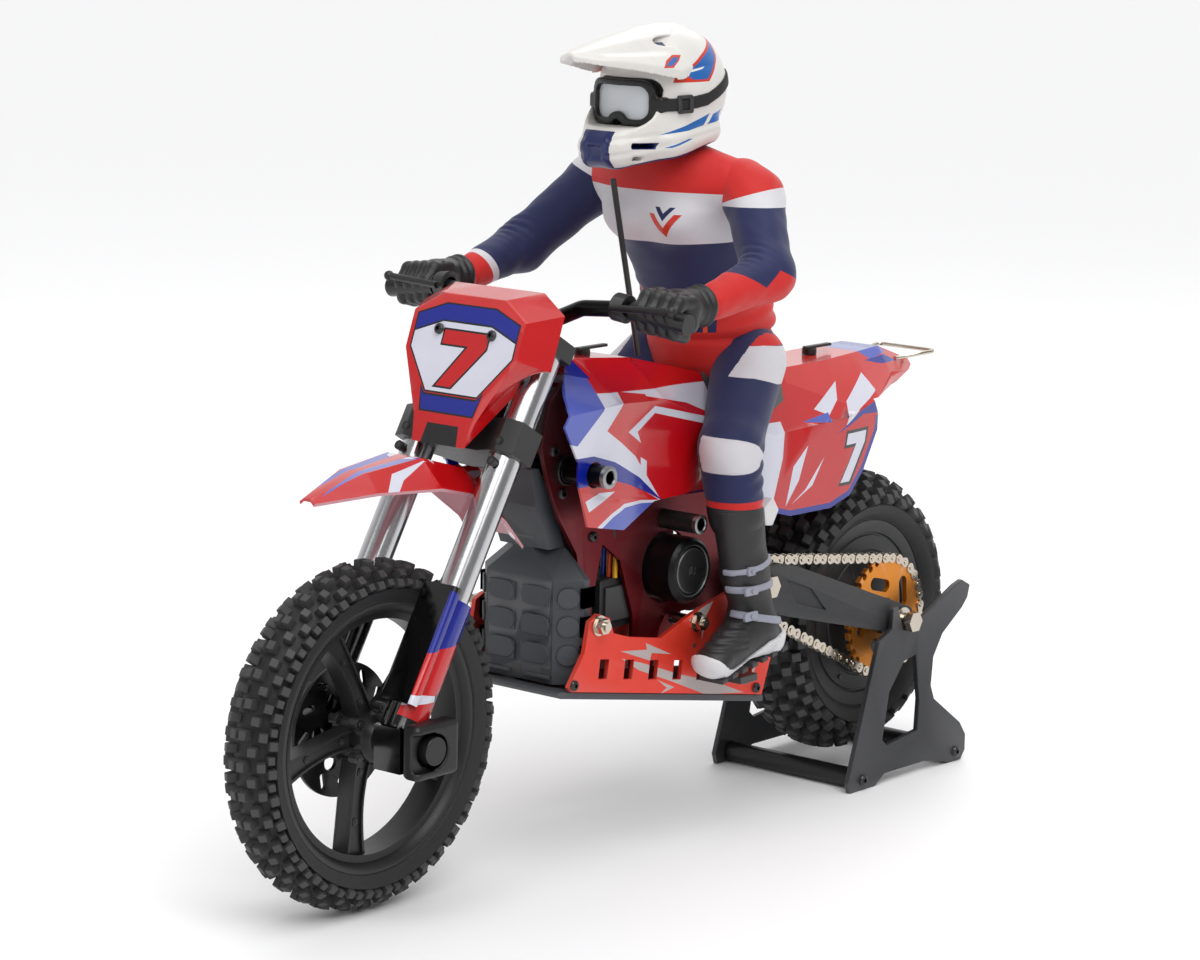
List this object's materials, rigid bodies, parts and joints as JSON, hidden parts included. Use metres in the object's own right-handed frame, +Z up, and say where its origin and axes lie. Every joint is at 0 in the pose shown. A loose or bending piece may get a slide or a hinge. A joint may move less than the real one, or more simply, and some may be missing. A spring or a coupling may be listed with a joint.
{
  "type": "rc motorcycle",
  "caption": "Radio controlled motocross bike with a fixed rider figure, sprung fork and swingarm, chain drive and a lift-off rear stand.",
  "frame": {"origin": "on the ground under the middle of the model's bounding box", "axes": "+X forward, +Y to the bike's left (chain side), +Z up"},
  "size_m": [0.5457, 0.1954, 0.417],
  "materials": {
    "wine_anodised": "satin anodised wine red",
    "orange_anodised": "satin anodised orange red",
    "black_anodised": "satin black anodised",
    "stand_grey": "satin dark grey anodised",
    "polished_tube": "polished",
    "nickel": "bright nickel plate",
    "black_steel": "black oxide",
    "steel": "machined",
    "gold_anodised": "gold anodised",
    "grey_plastic": "moulded dark grey",
    "black_plastic": "moulded black",
    "gloss_black_plastic": "gloss black",
    "tyre": "soft rubber",
    "painted_shell": "glossy red, white and blue film",
    "rider_suit": "painted soft vinyl",
    "rider_trousers": "painted soft vinyl",
    "boot_black": "painted soft vinyl",
    "glove_black": "moulded black",
    "helmet_white": "semi-gloss white",
    "goggle_black": "moulded black",
    "clear_lens": "clear",
    "belt_rubber": "toothed belt rubber",
    "wire_sleeve": "silicone sleeve",
    "flywheel_steel": "turned steel"
  },
  "bodies": {
    "frame": {"frame_plates": "wine_anodised", "guard_plates": "orange_anodised", "skid_plate": "stand_grey", "battery_box": "grey_plastic", "battery_pack": "black_plastic", "speed_controller": "grey_plastic", "steering_servo": "black_plastic", "steering_head": "black_anodised", "crash_bars": "black_steel", "motor_can": "black_anodised", "motor_mount": "black_anodised", "pivot_shaft": "steel", "drive_belt": "belt_rubber", "shock_body": "black_anodised", "shock_spring": "steel", "tank_shell": "painted_shell", "tail_shell": "painted_shell", "shell_clips": "black_plastic", "tail_bail": "nickel", "antenna": "black_plastic", "motor_wires": "wire_sleeve", "foot_pegs": "black_anodised", "guard_nuts": "nickel", "frame_screws": "black_steel", "rider_torso": "rider_suit", "rider_legs": "rider_trousers", "boots": "boot_black", "helmet": "helmet_white", "goggles": "goggle_black", "goggle_lens": "clear_lens"},
    "servo_horn": {"servo_horn": "black_plastic"},
    "motor_rotor": {"motor_rotor": "steel"},
    "drive_sprocket": {"drive_sprocket": "steel"},
    "swingarm": {"swingarm": "grey_plastic", "rear_axle": "nickel", "chain": "nickel"},
    "rear_wheel": {"rear_rim": "grey_plastic", "rear_tyre": "tyre", "rear_sprocket": "gold_anodised"},
    "gyro": {"gyro_flywheel": "flywheel_steel"},
    "shock_rod": {"shock_rod": "steel"},
    "stand": {"stand_plates": "stand_grey", "stand_tubes": "black_steel"},
    "fork": {"fork_tubes": "polished_tube", "upper_yoke": "black_plastic", "lower_yoke": "black_plastic", "handlebar": "black_steel", "levers": "black_plastic", "gloves": "glove_black", "number_board": "painted_shell", "front_fender": "painted_shell"},
    "fork_lowers": {"fork_legs": "gloss_black_plastic", "front_axle": "steel"},
    "front_wheel": {"front_tyre": "tyre", "front_rim": "black_plastic", "brake_disc": "black_steel"},
    "left_upper_arm": {"left_upper_arm": "rider_suit"},
    "left_forearm": {"left_forearm": "rider_suit"},
    "right_upper_arm": {"right_upper_arm": "rider_suit"},
    "right_forearm": {"right_forearm": "rider_suit"}
  },
  "joints": [
    {"name": "steering", "type": "hinge", "parent": "frame", "child": "fork", "pos_m": [0.1089, 0, 0.2], "axis": [-0.5075, 0, 0.8616], "range_deg": [-12, 12]},
    {"name": "servo_turn", "type": "hinge", "parent": "frame", "child": "servo_horn", "pos_m": [0.034, 0, 0.201], "axis": [0, 0, 1], "range_deg": [-13, 13]},
    {"name": "fork_travel", "type": "slide", "parent": "fork", "child": "fork_lowers", "axis": [-0.5075, 0, 0.8616], "range_m": [0, 0.018], "stiffness_N_per_m": 1200, "springref_m": -0.03},
    {"name": "front_wheel_spin", "type": "hinge", "parent": "fork_lowers", "child": "front_wheel", "pos_m": [0.1874, 0, 0.08535], "axis": [0, 1, 0], "continuous": true},
    {"name": "swingarm_pivot", "type": "hinge", "parent": "frame", "child": "swingarm", "pos_m": [-0.073, 0, 0.125], "axis": [0, 1, 0], "range_deg": [0, 9], "stiffness_Nm_per_rad": 12, "springref_deg": -20.05},
    {"name": "rear_wheel_spin", "type": "hinge", "parent": "swingarm", "child": "rear_wheel", "pos_m": [-0.195, 0, 0.0883], "axis": [0, 1, 0], "continuous": true},
    {"name": "gyro_spin", "type": "hinge", "parent": "swingarm", "child": "gyro", "pos_m": [-0.195, 0, 0.0883], "axis": [0, 1, 0], "continuous": true},
    {"name": "drive_sprocket_spin", "type": "hinge", "parent": "frame", "child": "drive_sprocket", "pos_m": [-0.073, 0, 0.125], "axis": [0, 1, 0], "continuous": true},
    {"name": "motor_spin", "type": "hinge", "parent": "frame", "child": "motor_rotor", "pos_m": [-0.0125, 0, 0.1417], "axis": [0, 1, 0], "continuous": true},
    {"name": "shock_travel", "type": "slide", "parent": "frame", "child": "shock_rod", "axis": [0, 0, 1], "range_m": [0, 0.0052], "deforming": ["shock_spring"]},
    {"name": "stand_lift", "type": "slide", "parent": "swingarm", "child": "stand", "axis": [0, 0, -1], "range_m": [0, 0.08]},
    {"name": "left_shoulder", "type": "hinge", "parent": "frame", "child": "left_upper_arm", "pos_m": [-0.04, 0.052, 0.331], "axis": [-0.4369, 0.4229, 0.7939], "range_deg": [-21, 21]},
    {"name": "left_elbow", "type": "hinge", "parent": "left_upper_arm", "child": "left_forearm", "pos_m": [-0.015, 0.081, 0.297], "axis": [-0.3838, 0.2878, 0.8774], "range_deg": [-29.5, 29.5]},
    {"name": "right_shoulder", "type": "hinge", "parent": "frame", "child": "right_upper_arm", "pos_m": [-0.04, -0.052, 0.331], "axis": [-0.4369, -0.4229, 0.7939], "range_deg": [-21, 21]},
    {"name": "right_elbow", "type": "hinge", "parent": "right_upper_arm", "child": "right_forearm", "pos_m": [-0.015, -0.081, 0.297], "axis": [-0.3838, -0.2878, 0.8774], "range_deg": [-29.5, 29.5]}
  ],
  "couplings": [
    {"joint": "servo_turn", "follows": "steering", "ratio": 1},
    {"joint": "left_shoulder", "follows": "steering", "ratio": 1.706},
    {"joint": "left_elbow", "follows": "steering", "ratio": -2.405},
    {"joint": "right_shoulder", "follows": "steering", "ratio": 1.706},
    {"joint": "right_elbow", "follows": "steering", "ratio": -2.405},
    {"joint": "drive_sprocket_spin", "follows": "rear_wheel_spin", "ratio": 2.6667},
    {"joint": "motor_spin", "follows": "rear_wheel_spin", "ratio": 8.8889},
    {"joint": "shock_travel", "follows": "swingarm_pivot", "m_per_rad": 0.0319}
  ]
}
